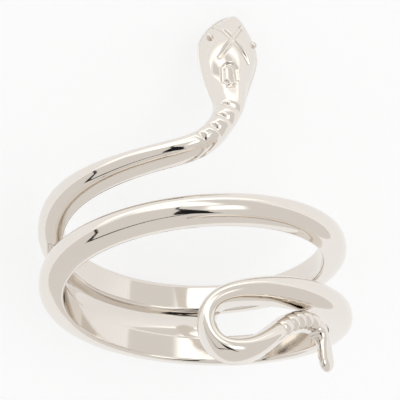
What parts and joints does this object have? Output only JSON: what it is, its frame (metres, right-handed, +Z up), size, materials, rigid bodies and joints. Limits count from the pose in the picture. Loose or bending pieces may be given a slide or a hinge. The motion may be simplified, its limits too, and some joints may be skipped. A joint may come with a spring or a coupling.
{
  "type": "snake wrap ring",
  "caption": "Finger ring cast as a snake that winds round the finger, with a spade head, a ribbed neck and a looped tail.",
  "frame": {"origin": "on the finger's axis, level with the middle of the coil", "axes": "+Z up from the surface the ring lies on, +Y the horizontal direction in which the picture was taken; the finger's axis leans 34 degrees from upright, with the head below"},
  "size_m": [0.0207, 0.0251, 0.0207],
  "materials": {
    "silver": "cast and polished sterling silver"
  },
  "bodies": {
    "root": {"snake_ring": "silver"}
  },
  "joints": []
}
